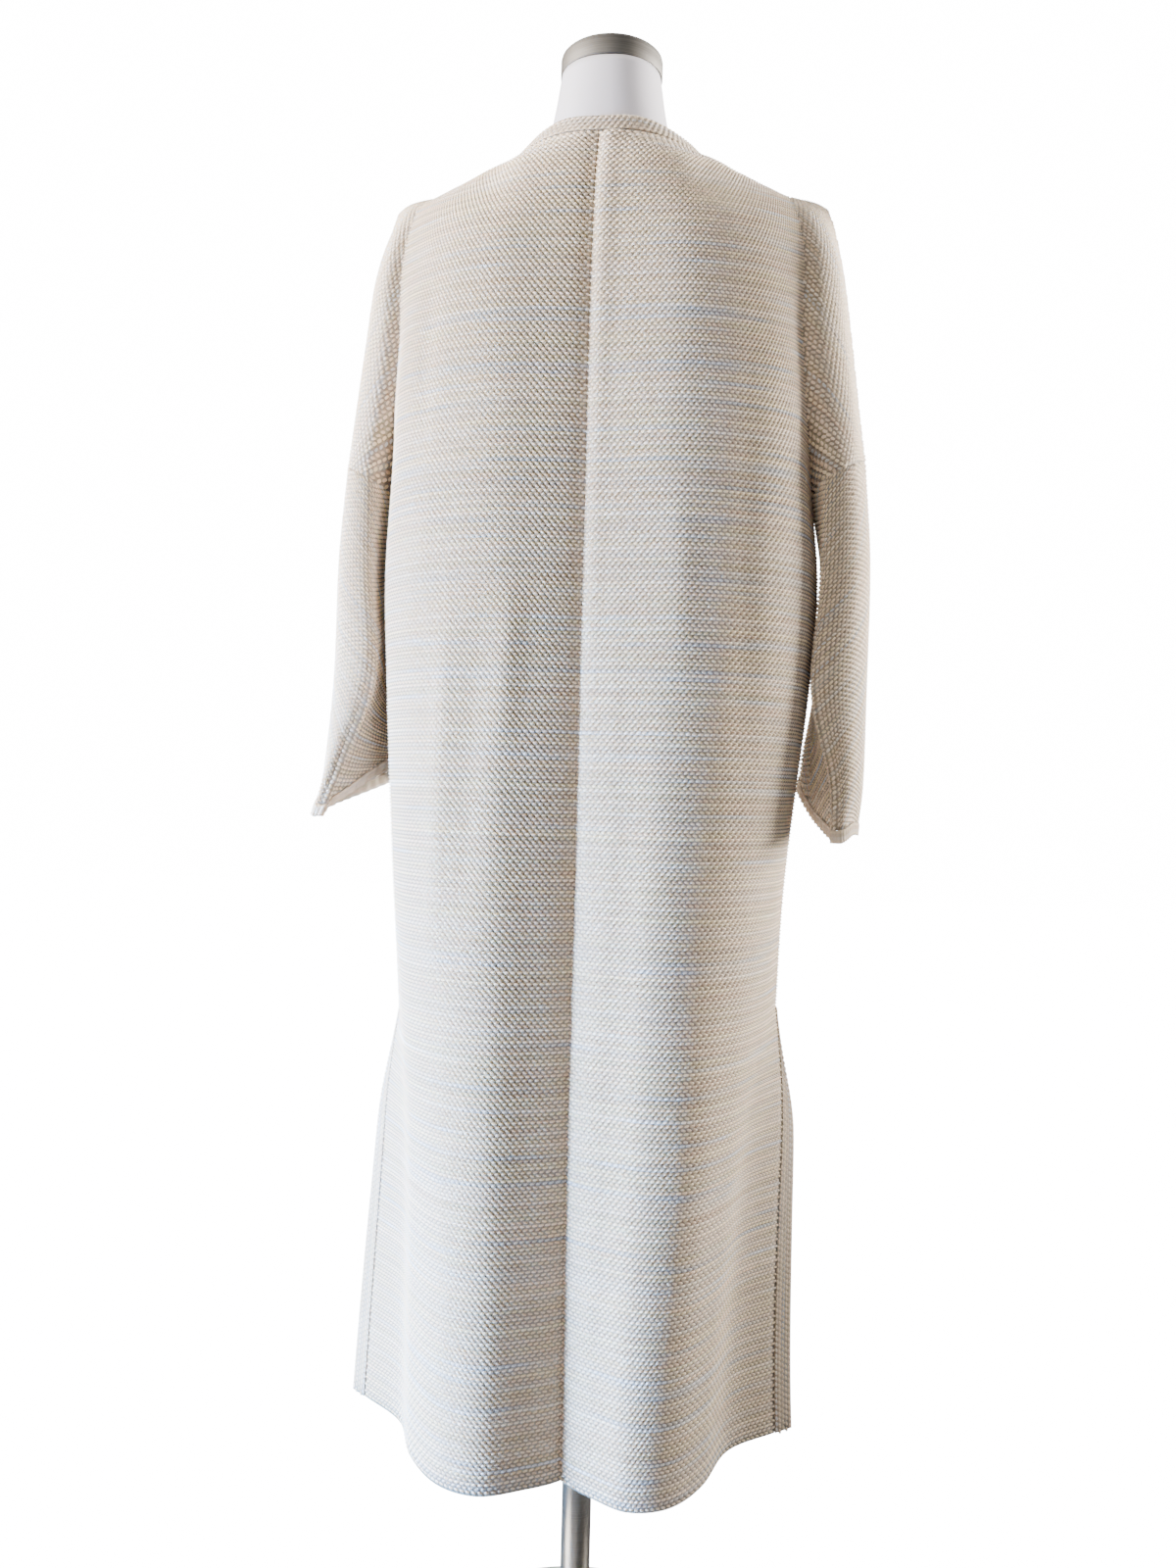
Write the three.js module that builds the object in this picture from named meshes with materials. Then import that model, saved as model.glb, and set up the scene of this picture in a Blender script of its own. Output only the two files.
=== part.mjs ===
// Long open cardigan coat in a chunky knit, worn by a limbless dress form on a round base.
// Millimetres, +Z up. The fronts face -Y, the wearer's left is +X, and the origin lies on the
// floor under the pole. Each cloth panel is a sheet read from a short table of sections, given
// the wall of the cloth.
import * as THREE from "three";

// Cloth
const WALL = 3;
const BAND_WALL = 4.5;
const CUFF_WALL = 3.5;
const SEAM_GAP = 0.3;

// Neck and shoulders of the coat
const NECK_HALF = 92;
const NECK_BACK = 80;
const NECK_BACK_Z = 1442;
const NECK_SIDE_Z = 1464;
const SHOULDER_Y = -3;
const SHOULDER_DROP = 0.5;
const VALLEY_X = 168;
const TIP_X = 205;
const TIP_ROUND_FROM_X = 183;
const TIP_ROUND = 7;

// Bands and cuffs
const NECKBAND_WIDTH = 18;
const NECKBAND_LEAN = 0.42;
const NECKBAND_LEAN_SIDE = 0.8;
const NECKBAND_LEAN_FROM_X = 30;
const FRONT_BAND_WIDTH = 21;
const FRONT_BAND_ACROSS = new THREE.Vector3(-1, 0.05, 0);
const BAND_TURN_ROWS = 2;
const SLIT_BAND_WIDTH = 21;
const SLIT_BAND_TAPER = 120;
const CUFF_HEIGHT = 12;
const CUFF_SET_DOWN = 0.25;
const CUFF_RIB_HEIGHT = 1.1;
const CUFF_POINTS_PER_SIDE = 6;

// Dress form and stand
const FORM_POWER = 2.2;
const FORM_AROUND = 28;
const CAP_RADIUS = 48.5;
const CAP_HEIGHT = 20;
const CAP_EDGE = 3;
const NECK_TOP_Z = 1529;
const TORSO_BOTTOM_Z = 780;
const POLE_RADIUS = 14;
const BASE_RADIUS = 170;
const BASE_HEIGHT = 10;
const BASE_EDGE = 3;
const CAP_AROUND = 40;
const POLE_AROUND = 24;
const BASE_AROUND = 48;

// Steps of the sheets, and the table rows at which the underarm and the slit begin
const STEPS_PER_ROW = 2;
const BACK_STEPS = 12;
const FRONT_STEPS = 6;
const CAP_STEPS = 8;
const UNDERARM_ROW = 6;
const SLIT_ROW = 10;
const SLIT_INSIDE = 0.02;

// Points nearer than this are one point; a sum is rounded by less than the second; the rim's
// corners are drawn in by no more than the gap over the third.
const SAME_POINT = 0.001;
const ROUNDING = 1e-9;
const MITER_LEAST = 0.35;

// What differs between the two halves as worn: a longer sleeve, how far the cuff, the skirt's
// side and the slit's back edge swing out, and how far out and up the sleeve's ridge and inner
// line end at the hem.
const SIDES = {
  left: { longer: 0, cuffSwing: 4, skirtSwing: 9, slitSwing: 3,
    hem: { ridge: [12, -7], inner: [0, 18] } },
  right: { longer: 12, cuffSwing: -16, skirtSwing: -2, slitSwing: -15,
    hem: { ridge: [0, -7], inner: [0, -8] } },
};
const SKIRT_TOP_Z = 1000;
const SKIRT_FULL_Z = 750;
const SLEEVE_INNER_X = 200;
const SLEEVE_OUTER_X = 258;

// Back panel, one half: plan points [x, y] from the centre-back seam to the side, a row for
// each height. A third value is the point's own height. The edge above the first row, the neck
// seam and shoulder line, is worked out.
const BACK_ROWS = [
  { z: 1422, seam: [0, 88], inner: [40, 87, 1424], lobe: [76, 76, 1430],
    outer: [100, 46, 1443], turn: [124, 36, 1435], flank: [147, 27, 1425],
    side: [170, 16, 1414] },
  { z: 1390, seam: [0, 100], inner: [40, 101], lobe: [79, 98], outer: [110, 88],
    turn: [136, 74], flank: [158, 58], side: [176, 42] },
  { z: 1335, seam: [0, 110], inner: [40, 113], lobe: [80, 113], outer: [115, 104],
    turn: [143, 90], flank: [167, 72], side: [184, 57] },
  { z: 1265, seam: [0, 116], inner: [40, 121], lobe: [82, 122], outer: [118, 113],
    turn: [148, 98], flank: [171, 80], side: [184, 60] },
  { z: 1195, seam: [0, 117], inner: [38, 123], lobe: [80, 125], outer: [119, 116],
    turn: [152, 100], flank: [178, 76], side: [190, 48] },
  { z: 1130, seam: [0, 115], inner: [37, 122], lobe: [79, 125], outer: [120, 117],
    turn: [156, 99], flank: [186, 64], side: [198, 0] },
  { z: 1040, seam: [0, 113], inner: [36, 121], lobe: [78, 125], outer: [120, 117],
    turn: [159, 97], flank: [191, 58], side: [205, 2] },
  { z: 940, seam: [0, 111], inner: [36, 121], lobe: [77, 126], outer: [118, 118],
    turn: [157, 94], flank: [187, 54], side: [199, -4] },
  { z: 770, seam: [0, 107], inner: [34, 121], lobe: [74, 131], outer: [113, 121],
    turn: [148, 92], flank: [173, 44], side: [183, -12] },
  { z: 650, seam: [0, 105], inner: [33, 121], lobe: [71, 134], outer: [110, 124],
    turn: [144, 90], flank: [165, 40], side: [178, -18] },
  { z: 560, seam: [0, 104], inner: [33, 121], lobe: [70, 136], outer: [108, 126],
    turn: [140, 88], flank: [161, 36], side: [188, -12] },
  { z: 440, seam: [0, 101], inner: [32, 121], lobe: [68, 138], outer: [105, 128],
    turn: [137, 84], flank: [158, 32], side: [193, -10] },
  { z: 250, seam: [0, 98], inner: [30, 120], lobe: [65, 141], outer: [102, 131],
    turn: [132, 90], flank: [156, 30], side: [202, -12] },
];

// Front panel, one half, from the side to the open front edge, at the same heights.
const FRONT_ROWS = [
  { z: 1422, side: [170, -22, 1414], flank: [148, -34, 1424], bust: [126, -43, 1432],
    fall: [106, -48, 1438], edge: [87, -46, 1438] },
  { z: 1390, side: [176, -44], flank: [157, -66], bust: [132, -82], fall: [104, -92],
    edge: [77, -92] },
  { z: 1335, side: [183, -53], flank: [161, -85], bust: [131, -107], fall: [98, -118],
    edge: [68, -118] },
  { z: 1265, side: [183, -53], flank: [163, -92], bust: [134, -120], fall: [98, -134],
    edge: [62, -136] },
  { z: 1195, side: [189, -40], flank: [168, -88], bust: [138, -120], fall: [100, -138],
    edge: [60, -143] },
  { z: 1130, side: [198, 0], flank: [178, -72], bust: [143, -112], fall: [103, -133],
    edge: [60, -142] },
  { z: 1040, side: [205, 2], flank: [182, -62], bust: [146, -108], fall: [104, -130],
    edge: [60, -140] },
  { z: 940, side: [199, -4], flank: [178, -66], bust: [143, -108], fall: [102, -128],
    edge: [60, -136] },
  { z: 770, side: [183, -12], flank: [165, -70], bust: [135, -110], fall: [99, -130],
    edge: [60, -136] },
  { z: 650, side: [178, -18], flank: [160, -72], bust: [132, -112], fall: [98, -134],
    edge: [61, -138] },
  { z: 560, side: [174, -52], flank: [158, -82], bust: [133, -114], fall: [98, -137],
    edge: [61, -139] },
  { z: 440, side: [177, -58], flank: [160, -90], bust: [134, -118], fall: [99, -142],
    edge: [62, -140] },
  { z: 250, side: [187, -68], flank: [166, -100], bust: [136, -124], fall: [101, -150],
    edge: [64, -142] },
];

// Dropped shoulder, cut in one with the panel: points [x, y, z] from the armhole valley out
// to the over-arm seam, a row for each height. `near` is the back half, `far` the front half.
const CAP_ROWS = [
  { near: [182, 15, 1409], far: [182, -21, 1409], nearOut: [195, 8, 1404],
    farOut: [195, -14, 1404], over: [207, -3, 1398] },
  { near: [190, 36, 1385], far: [190, -40, 1385], nearOut: [203, 20, 1380],
    farOut: [203, -26, 1380], over: [214, -3, 1375] },
  { near: [199, 56, 1335], far: [199, -58, 1335], nearOut: [214, 36, 1334],
    farOut: [214, -40, 1334], over: [223, -3, 1332] },
  { near: [201, 63, 1266], far: [202, -64, 1266], nearOut: [221, 42, 1267],
    farOut: [224, -46, 1267], over: [232, -3, 1268] },
  { near: [207, 60, 1198], far: [210, -62, 1198], nearOut: [229, 42, 1202],
    farOut: [232, -48, 1202], over: [240, -3, 1205] },
  { near: [207, 56, 1136], far: [208, -60, 1136], nearOut: [232, 50, 1150],
    farOut: [235, -54, 1150], over: [246, -3, 1165] },
];

// Lower sleeve, points [x, y, z] round the tube, a row for each section below the seam.
const SLEEVE_ROWS = [
  { over: [253, -5, 1075], frontOut: [240, -58, 1065], frontIn: [216, -62, 1055],
    inner: [211.5, -5, 1050], ridge: [208, 52, 1055], backOut: [238, 46, 1065] },
  { over: [256, -10, 965], frontOut: [238, -72, 968], frontIn: [212, -78, 968],
    inner: [208, -15, 962], ridge: [203, 49, 960], backOut: [239, 42, 962] },
  { over: [259, -14, 880], frontOut: [232, -82, 895], frontIn: [201, -84, 905],
    inner: [204, -22, 896], ridge: [226, 44, 884], backOut: [249, 38, 880] },
  { over: [261, -16, 843], frontOut: [226, -92, 868], frontIn: [197, -84, 882],
    inner: [208, -22, 862], ridge: [236, 46, 842], backOut: [256, 30, 842] },
];

// Dress form: half width, back and front depth at each height.
const FORM_ROWS = [
  { z: 780, half: 148, back: 92, front: 100 },
  { z: 800, half: 156, back: 97, front: 104 },
  { z: 860, half: 163, back: 99, front: 106 },
  { z: 960, half: 142, back: 84, front: 100 },
  { z: 1060, half: 124, back: 74, front: 94 },
  { z: 1150, half: 140, back: 88, front: 106 },
  { z: 1230, half: 156, back: 101, front: 125 },
  { z: 1300, half: 164, back: 102, front: 112 },
  { z: 1350, half: 169, back: 94, front: 88 },
  { z: 1385, half: 171, back: 78, front: 68 },
  { z: 1405, half: 170, back: 62, front: 52 },
  { z: 1425, half: 156, back: 50, front: 42 },
  { z: 1442, half: 124, back: 50, front: 41 },
  { z: 1455, half: 88, back: 52, front: 44 },
  { z: 1468, half: 62, back: 54, front: 47 },
  { z: 1495, half: 53, back: 52, front: 49 },
  { z: 1529, half: 47, back: 47, front: 47 },
];

const knit = new THREE.MeshStandardMaterial({ color: 0xd9cfb8, roughness: 0.92, metalness: 0 });
const form = new THREE.MeshStandardMaterial({ color: 0xd8d9ea, roughness: 0.55, metalness: 0 });
const steel = new THREE.MeshStandardMaterial({ color: 0x8d8a84, roughness: 0.35, metalness: 1 });

const mix = (a, b, t) => a + (b - a) * t;

function smooth(t) {
  const s = Math.min(Math.max(t, 0), 1);
  return s * s * (3 - 2 * s);
}

const toPoint = (place, z) => new THREE.Vector3(place[0], place[1], place[2] ?? z);

// Smooth curve through the points, uniform Catmull-Rom; a closed one wraps round.
function curveAt(points, t, closed = false) {
  const count = points.length;
  const spans = closed ? count : count - 1;
  const at = Math.min(Math.max(t, 0), 1) * spans;
  const span = Math.min(Math.floor(at), spans - 1);
  const s = at - span;
  const pick = (i) => {
    if (closed) return points[((i % count) + count) % count];
    if (i < 0) return points[0].clone().multiplyScalar(2).sub(points[1]);
    if (i >= count) return points[count - 1].clone().multiplyScalar(2).sub(points[count - 2]);
    return points[i];
  };
  const [a, b, c, d] = [pick(span - 1), pick(span), pick(span + 1), pick(span + 2)];
  const weights = [
    (-s + 2 * s * s - s * s * s) / 2,
    (2 - 5 * s * s + 3 * s * s * s) / 2,
    (s + 4 * s * s - 3 * s * s * s) / 2,
    (-s * s + s * s * s) / 2,
  ];
  return new THREE.Vector3()
    .addScaledVector(a, weights[0])
    .addScaledVector(b, weights[1])
    .addScaledVector(c, weights[2])
    .addScaledVector(d, weights[3]);
}

// Shoulder line from the neck to the tip, falling evenly and then rounding over.
function shoulderPoint(x) {
  const round = Math.max(0, (x - TIP_ROUND_FROM_X) / (TIP_X - TIP_ROUND_FROM_X));
  const drop = (x - NECK_HALF) * SHOULDER_DROP + TIP_ROUND * round * round;
  return new THREE.Vector3(x, SHOULDER_Y, NECK_SIDE_Z - drop);
}

// Top edge of the back half: a quarter of an ellipse round the neck, then the shoulder line.
function backTop(u) {
  if (u >= 0.5) return shoulderPoint(mix(NECK_HALF, VALLEY_X, (u - 0.5) * 2));
  const angle = u * Math.PI;
  const rise = 1 - Math.cos(angle);
  return new THREE.Vector3(
    NECK_HALF * Math.sin(angle),
    mix(NECK_BACK, SHOULDER_Y, rise),
    mix(NECK_BACK_Z, NECK_SIDE_Z, rise),
  );
}

const frontTop = (u) => shoulderPoint(mix(VALLEY_X, NECK_HALF, u));

// A panel's surface: the top edge, then one smooth curve across for each table row. `seamed`
// is 1 on the side seam, where the curve down breaks at the underarm and at the slit's top so
// that front and back share it, and fades to 0 away from it.
function panelPoint(rows, columns, top, seamed, u, v) {
  const across = rows.map((row) => curveAt(columns.map((name) => toPoint(row[name], row.z)), u));
  const points = [top(u), ...across];
  const point = curveAt(points, v);
  if (seamed === 0) return point;
  const at = v * rows.length;
  const [from, to] = [0, UNDERARM_ROW, SLIT_ROW, rows.length]
    .map((start, i, starts) => [start, starts[i + 1]])
    .find(([start, end]) => end !== undefined && at <= end);
  const broken = curveAt(points.slice(from, to + 1), (at - from) / (to - from));
  return point.lerp(broken, seamed);
}

const BACK_COLUMNS = ["seam", "inner", "lobe", "outer", "turn", "flank", "side"];
const FRONT_COLUMNS = ["side", "flank", "bust", "fall", "edge"];

function backPoint(u, v) {
  const seamed = Math.max(0, 1 - (1 - u) * (BACK_COLUMNS.length - 1));
  return panelPoint(BACK_ROWS, BACK_COLUMNS, backTop, seamed, u, v);
}

function frontPoint(u, v) {
  const seamed = Math.max(0, 1 - u * (FRONT_COLUMNS.length - 1));
  return panelPoint(FRONT_ROWS, FRONT_COLUMNS, frontTop, seamed, u, v);
}

// The dropped shoulder from the valley (u = 0) to the over-arm seam (u = 1), v down to the
// sleeve seam. Its valley edge is the panel's own edge.
function capPoint(side, u, v) {
  const names = side === "back" ? ["near", "nearOut"] : ["far", "farOut"];
  const panel = side === "back" ? BACK_ROWS : FRONT_ROWS;
  const top = shoulderPoint(mix(VALLEY_X, TIP_X, u));
  const across = CAP_ROWS.map((row, i) => curveAt([
    toPoint(panel[i].side, panel[i].z),
    toPoint(row[names[0]]),
    toPoint(row[names[1]]),
    toPoint(row.over),
  ], u));
  return curveAt([top, ...across], v);
}

const SLEEVE_COLUMNS = ["over", "frontOut", "frontIn", "inner", "ridge", "backOut"];

// The lower sleeve: u runs round from the over-arm by the front, v from the seam to the cuff.
function sleevePoint(u, v, { longer, cuffSwing, hem }) {
  const seam = u < 0.5 ? capPoint("front", 1 - 2 * u, 1) : capPoint("back", 2 * u - 1, 1);
  const rings = SLEEVE_ROWS.map((row, i) => {
    const share = (i + 1) / SLEEVE_ROWS.length;
    const ring = curveAt(SLEEVE_COLUMNS.map((name) => {
      const [out, up] = hem[name] ?? [0, 0];
      return toPoint(row[name]).add(new THREE.Vector3(out, 0, up).multiplyScalar(share * share));
    }), u, true);
    ring.z -= longer * share;
    const outward = smooth((ring.x - SLEEVE_INNER_X) / (SLEEVE_OUTER_X - SLEEVE_INNER_X));
    ring.x += cuffSwing * share * share * outward;
    return ring;
  });
  return curveAt([seam, ...rings], v);
}

// A sheet is a list of points and of triangles that face out.
function gridSheet(across, down, pointAt, closed = false) {
  const points = [];
  const faces = [];
  const columns = closed ? across : across + 1;
  for (let j = 0; j <= down; j++) {
    for (let i = 0; i < columns; i++) points.push(pointAt(i / across, j / down));
  }
  for (let j = 0; j < down; j++) {
    for (let i = 0; i < across; i++) {
      const a = j * columns + i;
      const b = j * columns + (i + 1) % columns;
      faces.push([a, b, b + columns], [a, b + columns, a + columns]);
    }
  }
  return { points, faces };
}

const keyOf = (point) => point.toArray().map((value) => Math.round(value / SAME_POINT)).join(",");

// Joins sheets that share points into one sheet.
function joinSheets(...sheets) {
  const points = [];
  const faces = [];
  const seen = new Map();
  for (const sheet of sheets) {
    const places = sheet.points.map((point) => {
      const key = keyOf(point);
      if (!seen.has(key)) {
        seen.set(key, points.length);
        points.push(point);
      }
      return seen.get(key);
    });
    for (const face of sheet.faces) {
      const corners = face.map((index) => places[index]);
      if (new Set(corners).size === 3) faces.push(corners);
    }
  }
  return { points, faces };
}

// The same sheet on the other side of the body.
function mirrored(sheet) {
  return {
    points: sheet.points.map((p) => new THREE.Vector3(-p.x, p.y, p.z)),
    faces: sheet.faces.map(([a, b, c]) => [a, c, b]),
  };
}

function faceNormal(sheet, face) {
  const [a, b, c] = face.map((index) => sheet.points[index]);
  return b.clone().sub(a).cross(c.clone().sub(a));
}

// Normals shared by every sheet that meets at a point, so walls meet squarely at seams.
function sharedNormals(sheets) {
  const normals = new Map();
  for (const sheet of sheets) {
    for (const face of sheet.faces) {
      const normal = faceNormal(sheet, face);
      for (const index of face) {
        const key = keyOf(sheet.points[index]);
        if (!normals.has(key)) normals.set(key, new THREE.Vector3());
        normals.get(key).add(normal);
      }
    }
  }
  for (const normal of normals.values()) normal.normalize();
  return normals;
}

// Directed edges that only one face has, as pairs of point indices.
function rimEdges(sheet) {
  const edges = new Map();
  for (const face of sheet.faces) {
    face.forEach((from, i) => {
      const to = face[(i + 1) % 3];
      const back = to + ":" + from;
      if (edges.has(back)) edges.delete(back);
      else edges.set(from + ":" + to, [from, to]);
    });
  }
  return [...edges.values()];
}

// The cloth's wall: the sheet moved half its thickness each way, its rim drawn in by half the
// seam gap and closed. `raise` lifts single outer points, as on ribs.
function clothWall(sheet, normals, thickness, raise = () => 0) {
  const count = sheet.points.length;
  const normalAt = sheet.points.map((point) => normals.get(keyOf(point)));
  const rim = rimEdges(sheet);
  const drawn = sheet.points.map(() => new THREE.Vector3());
  for (const [from, to] of rim) {
    const along = sheet.points[to].clone().sub(sheet.points[from]);
    for (const index of [from, to]) {
      const inward = normalAt[index].clone().cross(along).normalize();
      drawn[index].add(inward);
    }
  }
  const middle = sheet.points.map((point, i) => {
    const pull = drawn[i];
    if (pull.lengthSq() === 0) return point.clone();
    const miter = (SEAM_GAP / 2) / Math.max(pull.length() / 2, MITER_LEAST);
    return point.clone().addScaledVector(pull.normalize(), miter);
  });
  const positions = [];
  middle.forEach((p, i) => {
    positions.push(...p.clone().addScaledVector(normalAt[i], thickness / 2 + raise(i)).toArray());
  });
  middle.forEach((p, i) => {
    positions.push(...p.clone().addScaledVector(normalAt[i], -thickness / 2).toArray());
  });
  const index = [];
  for (const [a, b, c] of sheet.faces) index.push(a, b, c, a + count, c + count, b + count);
  for (const [from, to] of rim) {
    const [innerFrom, innerTo] = [from + count, to + count];
    if (keyOf(sheet.points[from]) < keyOf(sheet.points[to])) {
      index.push(from, innerFrom, innerTo, from, innerTo, to);
    } else {
      index.push(from, innerFrom, to, innerFrom, innerTo, to);
    }
  }
  const geometry = new THREE.BufferGeometry();
  geometry.setAttribute("position", new THREE.Float32BufferAttribute(positions, 3));
  geometry.setIndex(index);
  return geometry;
}

// How far the shoulders as worn lie above the tables' heights, at steps across from the middle:
// in full between the heights of `from`, and not at all outside those of `reach`. The sheets
// and the form are moved alike, so they stay clear of each other.
const SHOULDER_SET = {
  step: 30,
  left: [0, 0, -5, -14, -12.5, -7, 2, 11, 11],
  right: [0, 0, -5, -14.5, -16.5, -14, -9, 1, 6],
  form: [0, 0, -7, -19.5, -18, -14.5, -10, -10, -10],
};
const SET_REACH_Z = [1330, 1525];
const SET_FROM_Z = [1405, 1480];

function setShoulder(point, heights) {
  const last = heights.length - 1;
  const share = Math.abs(point.x) / (SHOULDER_SET.step * last);
  const lift = curveAt(heights.map((height) => new THREE.Vector3(0, 0, height)), share).z;
  const above = smooth((point.z - SET_REACH_Z[0]) / (SET_FROM_Z[0] - SET_REACH_Z[0]));
  const below = smooth((SET_REACH_Z[1] - point.z) / (SET_REACH_Z[1] - SET_FROM_Z[1]));
  point.z += lift * above * below;
}

const rowSteps = BACK_ROWS.length * STEPS_PER_ROW;
const capRows = UNDERARM_ROW * STEPS_PER_ROW;

// A panel as worn on one side: below the waist its side swings out, and so does the back
// panel's slit edge, most at the hem.
function wornPanel(pointAt, skirtSwing, slitSwing = 0) {
  const slitTop = BACK_ROWS[SLIT_ROW - 1].z;
  const hem = BACK_ROWS[BACK_ROWS.length - 1].z;
  const sideX = BACK_ROWS[SLIT_ROW - 1].side[0];
  return (u, v) => {
    const point = pointAt(u, v);
    const outward = smooth(point.x / sideX);
    const skirt = smooth((SKIRT_TOP_Z - point.z) / (SKIRT_TOP_Z - SKIRT_FULL_Z));
    const slit = smooth((slitTop - point.z) / (slitTop - hem));
    point.x += outward * (skirtSwing * skirt + slitSwing * slit);
    return point;
  };
}

// Back and front halves, each a body grid joined to its dropped shoulder along the valley.
function backSheet(worn) {
  const body = gridSheet(BACK_STEPS, rowSteps, worn);
  const cap = gridSheet(CAP_STEPS, capRows, (u, v) => capPoint("back", u, v));
  return joinSheets(body, cap);
}

function frontSheet(worn) {
  const cap = gridSheet(CAP_STEPS, capRows, (u, v) => capPoint("front", 1 - u, v));
  const body = gridSheet(FRONT_STEPS, rowSteps, worn);
  return joinSheets(cap, body);
}

function sleeveSheet(side) {
  const down = SLEEVE_ROWS.length * STEPS_PER_ROW;
  return gridSheet(2 * CAP_STEPS, down, (u, v) => sleevePoint(u, v, side), true);
}

// Ribbed hem of the sleeve: a ring that goes on from the sleeve's last edge.
function cuffSheet(side) {
  const sides = 2 * CAP_STEPS;
  const corner = (i, v) => sleevePoint((i % sides) / sides, v, side);
  const around = sides * CUFF_POINTS_PER_SIDE;
  const halfStepUp = 1 - 0.5 / (SLEEVE_ROWS.length * STEPS_PER_ROW);
  return gridSheet(around, 2, (u, v) => {
    const at = u * sides;
    const first = Math.floor(at + ROUNDING);
    const share = at - first;
    const edge = corner(first, 1).lerp(corner(first + 1, 1), share);
    const above = corner(first, halfStepUp).lerp(corner(first + 1, halfStepUp), share);
    const down = edge.clone().sub(above).normalize();
    return edge.addScaledVector(down, CUFF_SET_DOWN + v * CUFF_HEIGHT);
  }, true);
}

// Ribs stand on every other line of points, below the edge that meets the sleeve.
function ribRaise(index) {
  const firstRing = 2 * CAP_STEPS * CUFF_POINTS_PER_SIDE;
  return index >= firstRing && index % 2 === 0 ? CUFF_RIB_HEIGHT : 0;
}

// Direction from the seam across the neckband, leaning in towards the neck, most at its sides.
function neckLean(seam) {
  const sideways = (Math.abs(seam.x) - NECKBAND_LEAN_FROM_X) / (NECK_HALF - NECKBAND_LEAN_FROM_X);
  const inward = mix(NECKBAND_LEAN, NECKBAND_LEAN_SIDE, smooth(sideways));
  const lean = new THREE.Vector3(-seam.x, -seam.y, 0).normalize().multiplyScalar(inward);
  lean.z = Math.sqrt(1 - inward * inward);
  return lean;
}

// Neckband round the back of the neck, from shoulder seam to shoulder seam.
function neckbandSheet() {
  return gridSheet(BACK_STEPS, 2, (u, v) => {
    const side = u < 0.5 ? -1 : 1;
    const seam = backTop(Math.abs(u - 0.5));
    seam.x *= side;
    return seam.addScaledVector(neckLean(seam), (1 - v) * NECKBAND_WIDTH);
  });
}

// Band down the open front edge; at the shoulder it goes on from the neckband.
function frontBandSheet(worn) {
  return gridSheet(2, rowSteps, (u, v) => {
    const edge = worn(1, v);
    const flat = smooth(v * BACK_ROWS.length / BAND_TURN_ROWS);
    const across = neckLean(edge).multiplyScalar(1 - flat);
    across.addScaledVector(FRONT_BAND_ACROSS, flat).normalize();
    return edge.addScaledVector(across, u * mix(NECKBAND_WIDTH, FRONT_BAND_WIDTH, flat));
  });
}

// Bands on the two edges of the side slit, starting from nothing at its top and in line with
// the cloth. `edgeU` is the panel's slit edge and `insideU` a place just inside it.
function slitBandSheet(pointAt, edgeU, insideU) {
  const firstRow = SLIT_ROW / BACK_ROWS.length;
  const down = (BACK_ROWS.length - SLIT_ROW) * STEPS_PER_ROW;
  const slitTop = BACK_ROWS[SLIT_ROW - 1].z;
  const band = gridSheet(1, down, (u, v) => {
    const row = mix(firstRow, 1, v);
    const edge = pointAt(edgeU, row);
    const across = edge.clone().sub(pointAt(insideU, row)).setZ(0).normalize();
    const width = SLIT_BAND_WIDTH * smooth((slitTop - edge.z) / SLIT_BAND_TAPER);
    return edge.addScaledVector(across, Math.abs(u - 1 + edgeU) * width);
  });
  return joinSheets(band);
}

// The form's torso and neck: rounded sections, closed at both ends.
function formGeometry() {
  const positions = [];
  const index = [];
  FORM_ROWS.forEach((row) => {
    for (let i = 0; i < FORM_AROUND; i++) {
      const angle = i / FORM_AROUND * 2 * Math.PI;
      const [c, s] = [Math.cos(angle), Math.sin(angle)];
      const depth = s > 0 ? row.back : row.front;
      const point = new THREE.Vector3(
        row.half * Math.sign(c) * Math.abs(c) ** (2 / FORM_POWER),
        depth * Math.sign(s) * Math.abs(s) ** (2 / FORM_POWER),
        row.z,
      );
      setShoulder(point, SHOULDER_SET.form);
      positions.push(...point.toArray());
    }
  });
  for (let j = 0; j < FORM_ROWS.length - 1; j++) {
    for (let i = 0; i < FORM_AROUND; i++) {
      const a = j * FORM_AROUND + i;
      const b = j * FORM_AROUND + (i + 1) % FORM_AROUND;
      index.push(a, b, b + FORM_AROUND, a, b + FORM_AROUND, a + FORM_AROUND);
    }
  }
  const last = (FORM_ROWS.length - 1) * FORM_AROUND;
  const bottom = positions.length / 3;
  positions.push(0, 0, FORM_ROWS[0].z, 0, 0, FORM_ROWS[FORM_ROWS.length - 1].z);
  for (let i = 0; i < FORM_AROUND; i++) {
    const next = (i + 1) % FORM_AROUND;
    index.push(bottom, next, i, bottom + 1, last + i, last + next);
  }
  const geometry = new THREE.BufferGeometry();
  geometry.setAttribute("position", new THREE.Float32BufferAttribute(positions, 3));
  geometry.setIndex(index);
  return geometry;
}

// A turned piece: radius and height pairs from the axis round to the axis.
function turned(profile, segments) {
  const points = profile.map(([radius, height]) => new THREE.Vector2(radius, height));
  const geometry = new THREE.LatheGeometry(points, segments);
  geometry.rotateX(Math.PI / 2);
  return geometry;
}

const group = new THREE.Group();

function addPiece(name, geometry, material) {
  const mesh = new THREE.Mesh(geometry, material.clone());
  mesh.name = name;
  group.add(mesh);
}

const clothPieces = [{ name: "neckband", sheet: neckbandSheet(), wall: BAND_WALL }];

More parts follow.
